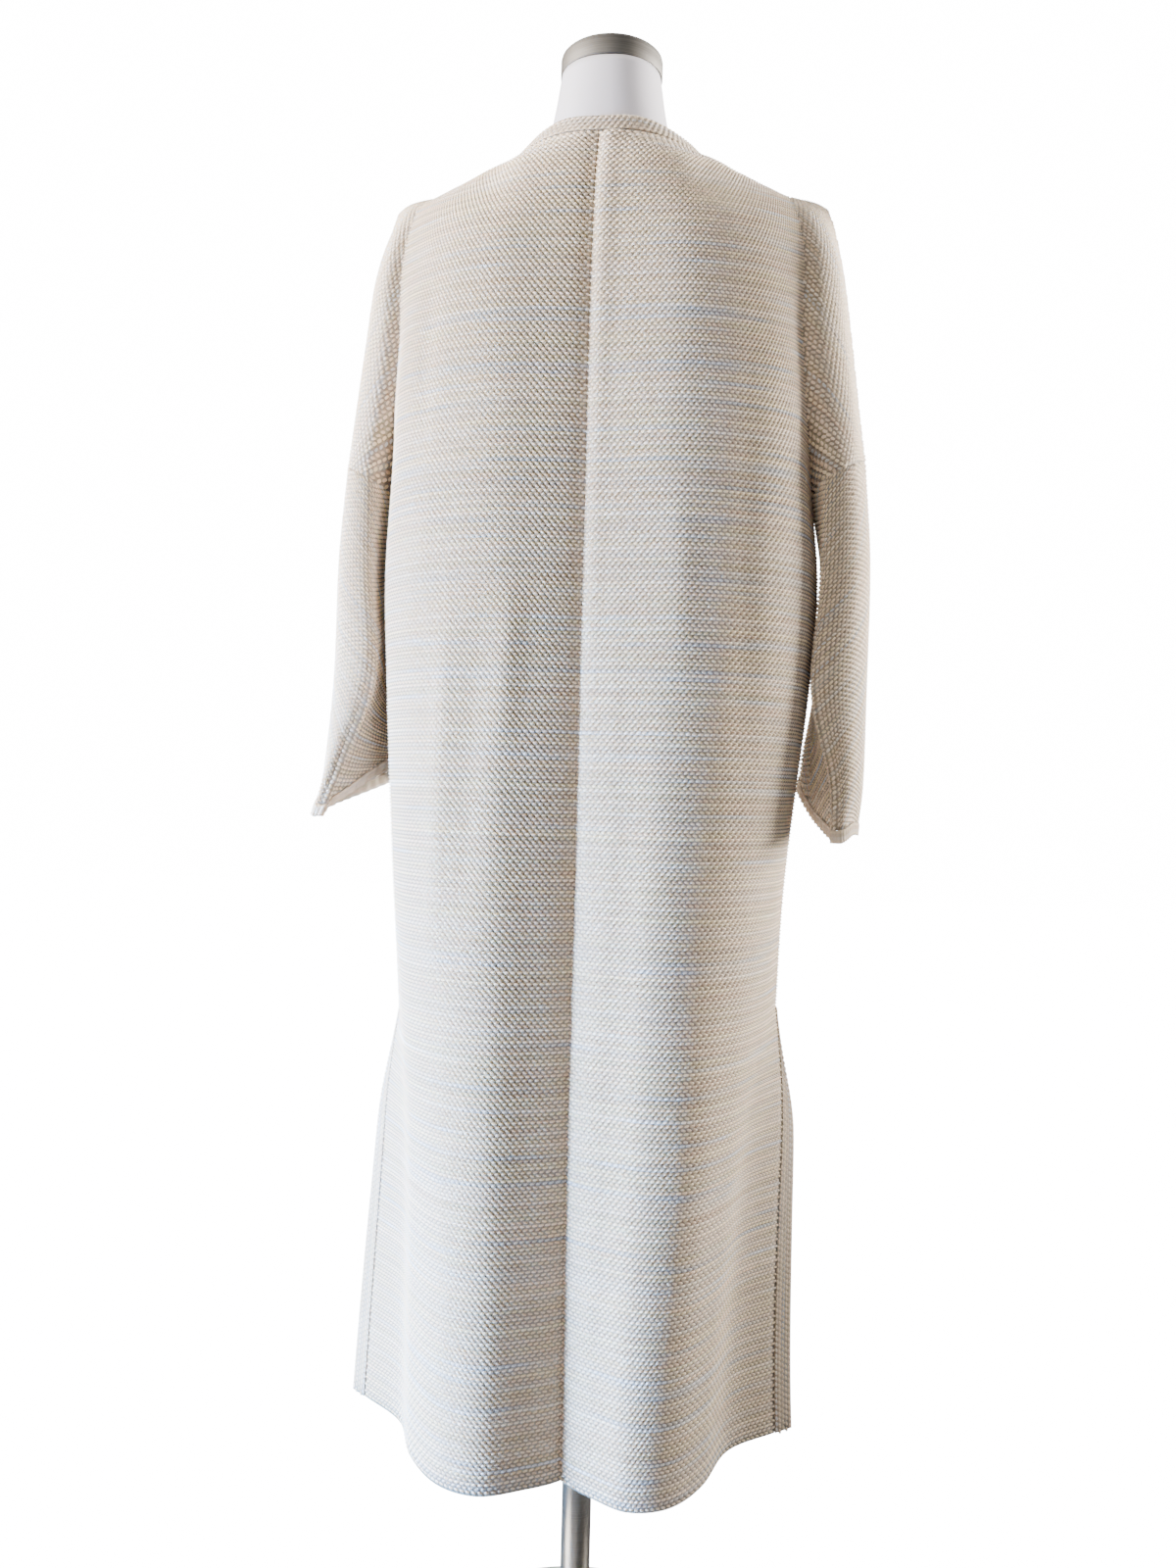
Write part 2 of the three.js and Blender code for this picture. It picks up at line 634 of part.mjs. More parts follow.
for (const [name, side] of Object.entries(SIDES)) {
  const place = (sheet) => (name === "left" ? sheet : mirrored(sheet));
  const back = wornPanel(backPoint, side.skirtSwing, side.slitSwing);
  const front = wornPanel(frontPoint, side.skirtSwing);
  clothPieces.push(
    { name: `back_${name}`, sheet: place(backSheet(back)), wall: WALL },
    { name: `front_${name}`, sheet: place(frontSheet(front)), wall: WALL },
    { name: `sleeve_${name}`, sheet: place(sleeveSheet(side)), wall: WALL },
    { name: `cuff_${name}`, sheet: place(cuffSheet(side)), wall: CUFF_WALL, raise: ribRaise },
    { name: `front_band_${name}`, sheet: place(frontBandSheet(front)), wall: BAND_WALL },
    { name: `slit_band_back_${name}`, sheet: place(slitBandSheet(back, 1, 1 - SLIT_INSIDE)),
      wall: BAND_WALL },
    { name: `slit_band_front_${name}`, sheet: place(slitBandSheet(front, 0, SLIT_INSIDE)),
      wall: BAND_WALL },
  );
}

for (const { sheet } of clothPieces) {
  sheet.points.forEach((p) => setShoulder(p, p.x > 0 ? SHOULDER_SET.left : SHOULDER_SET.right));
}

const normals = sharedNormals(clothPieces.map((piece) => piece.sheet));
for (const { name, sheet, wall, raise } of clothPieces) {
  addPiece(name, clothWall(sheet, normals, wall, raise), knit);
}

addPiece("form_torso", formGeometry(), form);

const capFoot = NECK_TOP_Z + SEAM_GAP;
const capTop = capFoot + CAP_HEIGHT;
addPiece("neck_cap", turned([
  [0, capFoot],
  [CAP_RADIUS, capFoot],
  [CAP_RADIUS, capTop - CAP_EDGE],
  [CAP_RADIUS - CAP_EDGE, capTop],
  [0, capTop],
], CAP_AROUND), steel);

addPiece("stand_pole", turned([
  [0, BASE_HEIGHT + SEAM_GAP],
  [POLE_RADIUS, BASE_HEIGHT + SEAM_GAP],
  [POLE_RADIUS, TORSO_BOTTOM_Z - SEAM_GAP],
  [0, TORSO_BOTTOM_Z - SEAM_GAP],
], POLE_AROUND), steel);

addPiece("stand_base", turned([
  [0, 0],
  [BASE_RADIUS, 0],
  [BASE_RADIUS, BASE_HEIGHT - BASE_EDGE],
  [BASE_RADIUS - BASE_EDGE, BASE_HEIGHT],
  [0, BASE_HEIGHT],
], BASE_AROUND), steel);

export default group;
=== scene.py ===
"""Long open cardigan coat in a chunky knit, on a limbless dress form.

Metres, +Z up. The coat's back faces +Y, the wearer's left is +X, and the floor is at z = 0.

A cloth surface is a table of places in millimetres. A smooth curve (Catmull-Rom) runs across
each row of the table, and a second smooth curve runs down through the rows. Soft folds move it
along its normal: height x exp(-(distance from the fold's line / width)^2), faded out over the
fold's ends. The cloth is that surface given a wall, with stitches standing on its outside.

A stitch is a small slanted oval of 10 triangles, or 8 on the hidden fronts. It lies on a
lattice: columns a stitch apart along the knitted rows, every second row moved by half a stitch.
The rows are level on the body and slanted on the shoulders and sleeves.
"""

import bpy
import numpy as np
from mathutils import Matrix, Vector


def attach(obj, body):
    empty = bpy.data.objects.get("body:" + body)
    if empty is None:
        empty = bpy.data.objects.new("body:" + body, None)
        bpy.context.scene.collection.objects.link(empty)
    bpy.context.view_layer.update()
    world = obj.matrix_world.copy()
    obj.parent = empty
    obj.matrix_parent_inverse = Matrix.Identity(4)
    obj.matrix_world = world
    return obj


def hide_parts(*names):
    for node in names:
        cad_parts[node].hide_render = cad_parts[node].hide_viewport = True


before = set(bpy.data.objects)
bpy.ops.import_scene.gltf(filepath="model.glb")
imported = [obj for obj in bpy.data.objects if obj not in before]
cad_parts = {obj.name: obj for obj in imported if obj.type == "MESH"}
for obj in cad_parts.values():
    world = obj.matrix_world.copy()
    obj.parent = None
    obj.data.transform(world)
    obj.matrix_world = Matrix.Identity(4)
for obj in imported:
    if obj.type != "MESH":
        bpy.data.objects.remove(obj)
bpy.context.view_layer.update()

# Camera: level, at the coat's back and a little to the wearer's right, turned slightly about
# its own axis as the photograph is. The lens gives the photograph's strong perspective.
camera_data = bpy.data.cameras.new("camera")
camera_data.lens = 29.25
camera = bpy.data.objects.new("camera", camera_data)
bpy.context.collection.objects.link(camera)
camera.location = (-0.1528, 1.2067, 0.8586)
camera.rotation_euler = np.radians([90, -1.42, 187.5])
bpy.context.scene.camera = camera

# Studio: a warm light from high on the coat's left, a cool one low beside it, a weaker one
# from its right, a weak one from the camera's side, a pale sky all round, and a soft light for
# the fronts.


def area_light(name, place, aim, size, watts, colour, spread=180):
    data = bpy.data.lights.new(name, "AREA")
    data.size = size
    data.energy = watts
    data.color = colour
    data.spread = np.radians(spread)
    light = bpy.data.objects.new(name, data)
    bpy.context.collection.objects.link(light)
    light.location = place
    light.rotation_euler = (Vector(aim) - Vector(place)).to_track_quat("-Z", "Y").to_euler()


area_light("key", (2.7, 0.92, 2.0), (0, 0.05, 1.2), 1.3, 450, (1.0, 0.88, 0.75))
area_light("low_key", (2.5, 1.1, 0.25), (0, 0.05, 0.25), 1.0, 72, (0.27, 0.55, 1.0), 50)
area_light("side", (-2.45, -1.0, 1.7), (0, 0.05, 1.4), 1.6, 46, (1.0, 0.92, 0.83), 40)
area_light("fill", (0.3, 2.9, 1.3), (0, 0.05, 0.9), 2.0, 28, (1.0, 0.88, 0.74))
area_light("front", (0.6, -2.8, 1.9), (0, 0, 0.9), 2.0, 60, (1.0, 0.98, 0.95))

world = bpy.data.worlds.new("studio")
bpy.context.scene.world = world
world.use_nodes = True
sky = world.node_tree
seen = sky.nodes.new("ShaderNodeLightPath").outputs["Is Camera Ray"]
level = sky.nodes.new("ShaderNodeMapRange")
level.inputs["To Min"].default_value = 0.27
level.inputs["To Max"].default_value = 16.0
sky.links.new(seen, level.inputs["Value"])
sky.links.new(level.outputs[0], sky.nodes["Background"].inputs["Strength"])
sky.nodes["Background"].inputs["Color"].default_value = (1.0, 1.0, 1.0, 1)


# Floor: one white sheet under the stand that lights itself for the camera only, so that it is
# as white as the sky behind it and throws no light on the coat.


def new_material(name, **sockets):
    material = bpy.data.materials.new(name)
    material.use_nodes = True
    shader = material.node_tree.nodes["Principled BSDF"]
    for socket, value in sockets.items():
        shader.inputs[socket.replace("_", " ")].default_value = value
    return material, shader


def add_node(material, kind, inputs=(), **settings):
    """A node of this kind; each input is a value or another node's socket, by name or number."""
    node = material.node_tree.nodes.new(kind)
    for setting, value in settings.items():
        setattr(node, setting, value)
    for socket, value in dict(inputs).items():
        if isinstance(value, bpy.types.NodeSocket):
            material.node_tree.links.new(value, node.inputs[socket])
        else:
            node.inputs[socket].default_value = value
    return node


def wire(material, source, target):
    material.node_tree.links.new(source, target)


def fine_bump(material, shader, scale, distance, strength):
    """Grain of the surface itself, from noise in the object's own coordinates."""
    place = add_node(material, "ShaderNodeTexCoord").outputs["Object"]
    noise = add_node(material, "ShaderNodeTexNoise",
                     {"Vector": place, "Scale": scale, "Detail": 3.0})
    bump = add_node(material, "ShaderNodeBump",
                    {"Height": noise.outputs[0], "Distance": distance, "Strength": strength})
    wire(material, bump.outputs[0], shader.inputs["Normal"])


def add_piece(name, points, faces, material, uv=None, mirror=False):
    """An object from points and one array of triangles or quads, or a list of face lists."""
    points = np.array(points, float).reshape(-1, 3)
    if mirror:
        points = points * (-1, 1, 1)
        faces = [list(face)[::-1] for face in np.asarray(faces).tolist()]
    else:
        faces = np.asarray(faces).tolist() if isinstance(faces, np.ndarray) else faces
    mesh = bpy.data.meshes.new(name)
    mesh.from_pydata(points.tolist(), [], faces)
    mesh.shade_smooth()
    if uv is not None:
        corner = np.empty(len(mesh.loops), np.int32)
        mesh.loops.foreach_get("vertex_index", corner)
        layer = mesh.uv_layers.new(name="courses")
        layer.data.foreach_set("uv", np.asarray(uv, np.float32)[corner].ravel())
    mesh.materials.append(material)
    piece = bpy.data.objects.new(name, mesh)
    bpy.context.collection.objects.link(piece)
    return piece


floor_material, floor_shader = new_material(
    "pale_floor", Base_Color=(0.93, 0.93, 0.93, 1), Roughness=0.85,
    Emission_Color=(1, 1, 1, 1), Emission_Strength=16.0)
fine_bump(floor_material, floor_shader, 60, 0.0004, 0.2)
floor = add_piece("floor", [(-9, -9, 0), (9, -9, 0), (9, 9, 0), (-9, 9, 0)],
                  [[0, 1, 2, 3]], floor_material)
floor.visible_diffuse = False
floor.visible_glossy = False

# Stand: a round base plate with a rounded rim and a plain pole, both brushed steel. The plate
# carries the pole, and a collar covers the joint.
TURNED_COLUMNS = 96


def smooth(t):
    s = np.clip(t, 0, 1)
    return s * s * (3 - 2 * s)


def ring_faces(rings, columns):
    """Quads between rings of places, with a flat face on the first ring and on the last."""
    grid = np.arange(rings * columns).reshape(rings, columns)
    after = np.roll(grid, -1, 1)
    sides = np.stack([grid[:-1], after[:-1], after[1:], grid[1:]], -1).reshape(-1, 4)
    return sides.tolist() + [grid[0, ::-1].tolist(), grid[-1].tolist()]


def turned(name, profile, material):
    """A turned piece from (radius, height) pairs in millimetres, with flat ends."""
    radius, height = np.array(profile).T / 1000
    angle = np.arange(TURNED_COLUMNS) / TURNED_COLUMNS * 2 * np.pi
    points = np.stack([
        radius[:, None] * np.cos(angle),
        radius[:, None] * np.sin(angle),
        height[:, None] + 0 * angle,
    ], -1)
    return add_piece(name, points, ring_faces(len(profile), TURNED_COLUMNS), material)


def brushed_steel(name, tint, roughness):
    """Steel brushed round its axis: the grain is noise drawn out along the rings."""
    material, shader = new_material(name, Metallic=1.0, Roughness=roughness)
    place = add_node(material, "ShaderNodeTexCoord").outputs["Object"]
    stretch = add_node(material, "ShaderNodeMapping", {"Vector": place, "Scale": (6, 6, 900)})
    grain = add_node(material, "ShaderNodeTexNoise",
                     {"Vector": stretch.outputs[0], "Scale": 1.0, "Detail": 4.0})
    ramp = add_node(material, "ShaderNodeValToRGB", {"Fac": grain.outputs[0]})
    ramp.color_ramp.elements[0].position = 0.3
    ramp.color_ramp.elements[0].color = (*(np.array(tint) * 0.72), 1)
    ramp.color_ramp.elements[1].position = 0.7
    ramp.color_ramp.elements[1].color = (*tint, 1)
    wire(material, ramp.outputs[0], shader.inputs["Base Color"])
    bump = add_node(material, "ShaderNodeBump",
                    {"Height": grain.outputs[0], "Distance": 0.0002, "Strength": 0.35})
    wire(material, bump.outputs[0], shader.inputs["Normal"])
    return material


stand_steel = brushed_steel("stand_steel", (0.46, 0.45, 0.43), 0.34)
base = turned("base_plate", [
    (164, 0), (168, 0.6), (169.6, 2), (170, 4), (169.6, 6.4), (168.4, 8.6), (166, 9.7),
    (162, 10), (30, 10), (29.5, 10.6), (29, 14), (27, 15.5), (15, 16), (14.4, 16.2),
], stand_steel)
pole = turned("pole", [
    (13.2, 10.3), (14, 11), (14, 300), (14, 700), (14, 776), (13.2, 779.5),
], stand_steel)
for piece, node in ((base, "stand_base"), (pole, "stand_pole")):
    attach(piece, "root")
    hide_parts(node)

# Dress form: a smooth torso and neck in a pale cover, widths and depths in millimetres at each
# height. Sections are rounded ovals (power 2.2), joined by a smooth curve.


def spline(points, t, closed=False):
    """Catmull-Rom through points along axis 0, at every t from 0 to 1."""
    points = np.asarray(points, float)
    if closed:
        spans = len(points)
        ready = np.concatenate([points[-1:], points, points[:2]])
    else:
        spans = len(points) - 1
        before, after = 2 * points[:1] - points[1:2], 2 * points[-1:] - points[-2:-1]
        ready = np.concatenate([before, points, after])
    at = np.clip(t, 0, 1) * spans
    span = np.minimum(at.astype(int), spans - 1)
    s = (at - span).reshape(-1, *[1] * (points.ndim - 1))
    a, b, c, d = (ready[span + k] for k in range(4))
    return (b + s * (c - a) / 2 + s**2 * (a - 2.5 * b + 2 * c - d / 2)
            + s**3 * (1.5 * (b - c) + (d - a) / 2))


FORM_ROWS = np.array([  # height, half width, depth at the back, depth at the front
    (780, 148, 92, 100), (800, 156, 97, 104), (860, 163, 99, 106), (960, 142, 84, 100),
    (1060, 124, 74, 94), (1150, 140, 88, 106), (1230, 156, 101, 125), (1300, 164, 102, 112),
    (1350, 169, 94, 88), (1385, 171, 78, 68), (1405, 170, 62, 52), (1425, 156, 50, 42),
    (1442, 124, 50, 41), (1455, 88, 52, 44), (1468, 62, 54, 47), (1495, 53, 52, 49),
    (1529, 47, 47, 47),
]) / 1000

SHOULDER_SET = {  # how far the worn shoulders lie above these tables, each 30 mm across (mm)
    "left": (0, 0, -5, -14, -12.5, -7, 2, 11, 11),
    "right": (0, 0, -5, -14.5, -16.5, -14, -9, 1, 6),
    "form": (0, 0, -7, -19.5, -18, -14.5, -10, -10, -10),
}


def settled(surface, mirror=False, sides=("left", "right")):
    """Moves the shoulders to where they lie as worn, in full from 1405 to 1480 mm high."""
    x, z = surface[..., 0], surface[..., 2]
    left, right = (spline(SHOULDER_SET[side], np.abs(x).ravel() / 0.24).reshape(x.shape)
                   for side in sides)
    lift = np.where((x < 0) != mirror, right, left) / 1000
    moved = surface.copy()
    moved[..., 2] += lift * smooth((z - 1.33) / 0.075) * smooth((1.525 - z) / 0.045)
    return moved


form_cover, form_shader = new_material(
    "form_cover", Base_Color=(0.74, 0.735, 0.83, 1), Roughness=0.5, Sheen_Weight=0.15,
    Specular_IOR_Level=0.35)
fine_bump(form_cover, form_shader, 1800, 0.0001, 0.25)
FORM_RINGS, FORM_COLUMNS = 97, 88
OVAL_POWER = 2.2
height, half, back, front = spline(FORM_ROWS, np.linspace(0, 1, FORM_RINGS)).T[:, :, None]
angle = np.arange(FORM_COLUMNS) / FORM_COLUMNS * 2 * np.pi
across, depth = np.cos(angle), np.sin(angle)
form_points = np.stack([
    half * np.sign(across) * np.abs(across) ** (2 / OVAL_POWER),
    np.where(depth > 0, back, front) * np.sign(depth) * np.abs(depth) ** (2 / OVAL_POWER),
    height + 0 * angle,
], -1)
form_points = settled(form_points, sides=("form", "form"))
form = add_piece("form", form_points, ring_faces(FORM_RINGS, FORM_COLUMNS), form_cover)
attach(form, "root")
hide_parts("form_torso")

# Neck cap: a flat round cap of dark brushed steel with a rounded upper edge. It is a little
# wider than the neck, which it closes.
cap_steel = brushed_steel("cap_steel", (0.2, 0.195, 0.185), 0.66)
neck_cap = turned("neck_cap_steel", [
    (46, 1529.4), (48, 1529.6), (48.5, 1530.4), (48.5, 1538), (48.5, 1545), (47.9, 1547.4),
    (46.4, 1548.8), (44, 1549.3), (20, 1549.3),
], cap_steel)
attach(neck_cap, "root")
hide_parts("neck_cap")

# Yarn: several pale yarns knitted together. The UV counts stitches and courses in hundredths.
# Slow noise drawn out along the courses picks the yarn's colour, cream to peach, grey-blue or
# yellow, a few courses at a time, and each stitch is a little lighter or darker.


def maths(material, operation, *values):
    return add_node(material, "ShaderNodeMath", dict(enumerate(values)),
                    operation=operation).outputs[0]


YARN_COLOURS = [  # place on the ramp, colour
    (0.26, (0.90, 0.72, 0.60)), (0.35, (0.71, 0.72, 0.76)), (0.41, (0.90, 0.80, 0.69)),
    (0.48, (0.89, 0.73, 0.60)), (0.54, (0.90, 0.77, 0.57)), (0.60, (0.91, 0.71, 0.56)),
    (0.66, (0.90, 0.79, 0.57)), (0.74, (0.97, 0.91, 0.84)),
]


def yarn(name, tone, ground=False):
    """A yarn as bright as `tone`. The ground behind the stitches has a wave of painted light and
    shade, and of height, in place of them: cos(2 pi x stitch) x cos(pi x course)."""
    material, shader = new_material(
        name, Roughness=0.82, Sheen_Weight=0.35, Sheen_Roughness=0.45, Specular_IOR_Level=0.25)
    uv = add_node(material, "ShaderNodeUVMap", uv_map="courses").outputs[0]
    parts = add_node(material, "ShaderNodeSeparateXYZ", {0: uv}).outputs
    stitch = maths(material, "MULTIPLY", parts[0], 100.0)
    course = maths(material, "MULTIPLY", parts[1], 100.0)
    slow = add_node(material, "ShaderNodeCombineXYZ", {
        0: maths(material, "MULTIPLY", stitch, 0.022),
        1: maths(material, "MULTIPLY", maths(material, "FLOOR", course), 0.73)}).outputs[0]
    pick = add_node(material, "ShaderNodeTexNoise",
                    {"Vector": slow, "Scale": 1.0, "Detail": 2.0, "Roughness": 0.6})
    ramp = add_node(material, "ShaderNodeValToRGB", {"Fac": pick.outputs[0]})
    stops = ramp.color_ramp.elements
    while len(stops) < len(YARN_COLOURS):
        stops.new(1.0)
    for stop, (place, colour) in zip(stops, YARN_COLOURS):
        stop.position = place
        stop.color = (*colour, 1)
    whole_course = maths(material, "FLOOR", course)
    cell = add_node(material, "ShaderNodeCombineXYZ", {
        0: maths(material, "FLOOR", stitch), 1: whole_course}).outputs[0]
    speckle = add_node(material, "ShaderNodeTexWhiteNoise", {"Vector": cell})
    light = add_node(material, "ShaderNodeMapRange", {
        "Value": speckle.outputs["Value"], "To Min": 0.93 * tone, "To Max": 1.03 * tone})
    third = maths(material, "FLOORED_MODULO", whole_course, 3.0)
    row = add_node(material, "ShaderNodeTexWhiteNoise", {"W": whole_course},
                   noise_dimensions="1D")
    uneven = maths(material, "MULTIPLY_ADD", row.outputs["Value"], 0.16, 0.86)
    proud = maths(material, "MULTIPLY_ADD", maths(material, "LESS_THAN", third, 0.5), 0.11,
                  uneven)
    shade = maths(material, "MULTIPLY", light.outputs[0], proud)
    wave = maths(material, "MULTIPLY",
                 maths(material, "COSINE", maths(material, "MULTIPLY", stitch, 2 * np.pi)),
                 maths(material, "COSINE", maths(material, "MULTIPLY", course, np.pi)))
    # Painted light and shade on the ground, in place of the stitches' relief.
    if ground:
        shade = maths(material, "MULTIPLY", shade,
                      maths(material, "MULTIPLY_ADD", wave, 0.12, 0.88))
    tinted = add_node(material, "ShaderNodeVectorMath",
                      {0: ramp.outputs[0], "Scale": shade}, operation="SCALE")
    wire(material, tinted.outputs[0], shader.inputs["Base Color"])
    twist = maths(material, "SINE", maths(
        material, "MULTIPLY_ADD", stitch, 8 * np.pi, maths(material, "MULTIPLY", course, 5.0)))
    place = add_node(material, "ShaderNodeTexCoord").outputs["Object"]
    fuzz = add_node(material, "ShaderNodeTexNoise",
                    {"Vector": place, "Scale": 1500.0, "Detail": 4.0})
    relief = maths(material, "MULTIPLY_ADD", twist, 0.12, fuzz.outputs[0])
    if ground:
        relief = maths(material, "MULTIPLY_ADD", wave, 1.1, relief)
    bump = add_node(material, "ShaderNodeBump",
                    {"Height": relief, "Distance": 0.0006, "Strength": 0.55})
    wire(material, bump.outputs[0], shader.inputs["Normal"])
    return material


panel_yarn = yarn("panel_yarn", 1.02)
# The grounds are the same yarns painted at about half their brightness: painted shade in the
# gaps between the stitches.
panel_ground = yarn("panel_ground", 0.5, ground=True)
band_yarn = yarn("band_yarn", 0.88)
band_ground = yarn("band_ground", 0.56, ground=True)
seam_yarn, seam_shader = new_material(
    "seam_yarn", Base_Color=(0.58, 0.45, 0.34, 1), Roughness=0.85, Sheen_Weight=0.2)
fine_bump(seam_yarn, seam_shader, 1500, 0.0004, 0.5)

# Back panels: two halves sewn down the centre back, each cut in one with its dropped shoulder.
# The tables give plan places in millimetres at each height, and a third number is the place's
# own height. Folds are listed one by one; one that ends below the hem runs out through it.


def table(rows):
    return np.array([
        [(place[0], place[1], place[2] if len(place) > 2 else z) for place in places]
        for z, *places in rows]) / 1000


BACK_ROWS = table([  # height, then seam, inner, lobe, outer, turn, flank, side
    (1422, (0, 88), (40, 87, 1424), (76, 76, 1430), (100, 46, 1443), (124, 36, 1435),
     (147, 27, 1425), (170, 16, 1414)),
    (1390, (0, 100), (40, 101), (79, 98), (110, 88), (136, 74), (158, 58), (176, 42)),
    (1335, (0, 110), (40, 113), (80, 113), (115, 104), (143, 90), (167, 72), (184, 57)),
    (1265, (0, 116), (40, 121), (82, 122), (118, 113), (148, 98), (171, 80), (184, 60)),
    (1195, (0, 117), (38, 123), (80, 125), (119, 116), (152, 100), (178, 76), (190, 48)),
    (1130, (0, 115), (37, 122), (79, 125), (120, 117), (156, 99), (186, 64), (198, 0)),
    (1040, (0, 113), (36, 121), (78, 125), (120, 117), (159, 97), (191, 58), (205, 2)),
    (940, (0, 111), (36, 121), (77, 126), (118, 118), (157, 94), (187, 54), (199, -4)),
    (770, (0, 107), (34, 121), (74, 131), (113, 121), (148, 92), (173, 44), (183, -12)),
    (650, (0, 105), (33, 121), (71, 134), (110, 124), (144, 90), (165, 40), (178, -18)),
    (560, (0, 104), (33, 121), (70, 136), (108, 126), (140, 88), (161, 36), (188, -12)),
    (440, (0, 101), (32, 121), (68, 138), (105, 128), (137, 84), (158, 32), (193, -10)),
    (250, (0, 98), (30, 120), (65, 141), (102, 131), (132, 90), (156, 30), (202, -12)),
])
FRONT_ROWS = table([  # height, then side, flank, bust, fall, edge
    (1422, (170, -22, 1414), (148, -34, 1424), (126, -43, 1432), (106, -48, 1438),
     (87, -46, 1438)),
    (1390, (176, -44), (157, -66), (132, -82), (104, -92), (77, -92)),
    (1335, (183, -53), (161, -85), (131, -107), (98, -118), (68, -118)),
    (1265, (183, -53), (163, -92), (134, -120), (98, -134), (62, -136)),
    (1195, (189, -40), (168, -88), (138, -120), (100, -138), (60, -143)),
    (1130, (198, 0), (178, -72), (143, -112), (103, -133), (60, -142)),
    (1040, (205, 2), (182, -62), (146, -108), (104, -130), (60, -140)),
    (940, (199, -4), (178, -66), (143, -108), (102, -128), (60, -136)),
    (770, (183, -12), (165, -70), (135, -110), (99, -130), (60, -136)),
    (650, (178, -18), (160, -72), (132, -112), (98, -134), (61, -138)),
    (560, (174, -52), (158, -82), (133, -114), (98, -137), (61, -139)),
    (440, (177, -58), (160, -90), (134, -118), (99, -142), (62, -140)),
    (250, (187, -68), (166, -100), (136, -124), (101, -150), (64, -142)),
])
SHOULDER_ROWS = np.array([  # valley side at the back, at the front, further out, over the arm
    ((182, 15, 1409), (182, -21, 1409), (195, 8, 1404), (195, -14, 1404), (207, -3, 1398)),
    ((190, 36, 1385), (190, -40, 1385), (203, 20, 1380), (203, -26, 1380), (214, -3, 1375)),
    ((199, 56, 1335), (199, -58, 1335), (214, 36, 1334), (214, -40, 1334), (223, -3, 1332)),
    ((201, 63, 1266), (202, -64, 1266), (221, 42, 1267), (224, -46, 1267), (232, -3, 1268)),
    ((207, 60, 1198), (210, -62, 1198), (229, 42, 1202), (232, -48, 1202), (240, -3, 1205)),
    ((207, 56, 1136), (208, -60, 1136), (232, 50, 1150), (235, -54, 1150), (246, -3, 1165)),
]) / 1000
TABLE_ROWS = 13
UNDERARM_ROW = 6
SLIT_ROW = 10
STEPS = 9
WORN = {  # how far the sleeve's end, the cuff, the skirt's side and the slit's edge are moved,
    # and how far out and up the sleeve's inner line and ridge end at the hem (mm)
    "left": dict(longer=0.0, cuff=0.004, skirt=0.009, slit=0.003, hem=((0, 18), (12, -7))),
    "right": dict(longer=0.012, cuff=-0.016, skirt=-0.002, slit=-0.015, hem=((0, -8), (0, -7))),
}
BACK_FOLDS = {  # x and height at the top, x and height at the bottom, width, depth (mm)
    "left": [(6, 1300, 6, 280, 92, 3.5), (4, 860, 4, -200, 60, 6.0),
             (120, 1060, 126, 660, 9, 2.6), (62, 1050, 66, 870, 10, 2.0),
             (92, 1040, 95, 700, 13, -2.2), (146, 1330, 150, 1120, 10, -2.0),
             (116, 800, 118, -100, 34, -3.4)],
    "right": [(6, 1300, 6, 280, 92, 3.5), (4, 860, 4, -200, 60, 6.0),
              (24, 1200, 26, -60, 16, 2.6), (140, 1310, 144, 760, 14, -2.2),
              (82, 1160, 86, 900, 12, 1.4), (110, 800, 114, -100, 26, 4.0)],
}


def shoulder_line(x):
    """An even fall from the neck, rounding over by 7 mm at the tip."""
    rounding = 0.007 * np.maximum(0, (x - 0.183) / 0.022) ** 2
    return np.stack([x, np.full_like(x, -0.003), 1.464 - (x - 0.092) * 0.5 - rounding], -1)


def back_top(u):
    """Quarter of an ellipse round the neck for the first half, then the shoulder line."""
    rise = 1 - np.cos(np.minimum(u, 0.5) * np.pi)
    neck = np.stack([0.092 * np.sin(np.minimum(u, 0.5) * np.pi), 0.080 - 0.083 * rise,
                     1.442 + 0.022 * rise], -1)
    return np.where((u < 0.5)[:, None], neck, shoulder_line(0.092 + 0.076 * (2 * u - 1)))


def panel(rows, top, seamed, u, v):
    """Surface over u across and v down. Near the side seam the curve down is in three parts,
    broken at the underarm and at the slit's top, so that front and back share it."""
    lines = spline(rows.transpose(1, 0, 2), u).transpose(1, 0, 2)
    lines = np.concatenate([top[None], lines])
    whole = spline(lines, v)
    at = v * TABLE_ROWS
    parts = np.empty_like(whole)
    for start, end in ((0, UNDERARM_ROW), (UNDERARM_ROW, SLIT_ROW), (SLIT_ROW, TABLE_ROWS)):
        inside = (at >= start) & (at <= end)
        parts[inside] = spline(lines[start:end + 1], (at[inside] - start) / (end - start))
    return whole + seamed[None, :, None] * (parts - whole)


def hang(surface, skirt, slit=0.0):
    """Swings the skirt's side out below the waist, and the slit's edge below its top."""
    x, z = surface[..., 0], surface[..., 2]
    moved = surface.copy()
    moved[..., 0] += smooth(x / 0.178) * (
        skirt * smooth((1.0 - z) / 0.25) + slit * smooth((0.65 - z) / 0.4))
    return moved


def dropped_shoulder(face, u, v):
    """From the valley (u = 0) to the line over the arm (u = 1), face 0 the back, 1 the front."""
    rows = (BACK_ROWS[:6, -1], FRONT_ROWS[:6, 0])[face]
    knots = np.stack([rows, SHOULDER_ROWS[:, face], SHOULDER_ROWS[:, 2 + face],
                      SHOULDER_ROWS[:, 4]])
    lines = spline(knots, u).transpose(1, 0, 2)
    return spline(np.concatenate([shoulder_line(0.168 + 0.037 * u)[None], lines]), v)


def normals_of(surface):
    """Unit normals of a grid surface; places outside the cloth are not numbers."""
    du, dv = np.gradient(surface, axis=1), np.gradient(surface, axis=0)
    normal = np.cross(du, dv)
    return normal / np.maximum(np.linalg.norm(normal, axis=-1, keepdims=True), 1e-12)


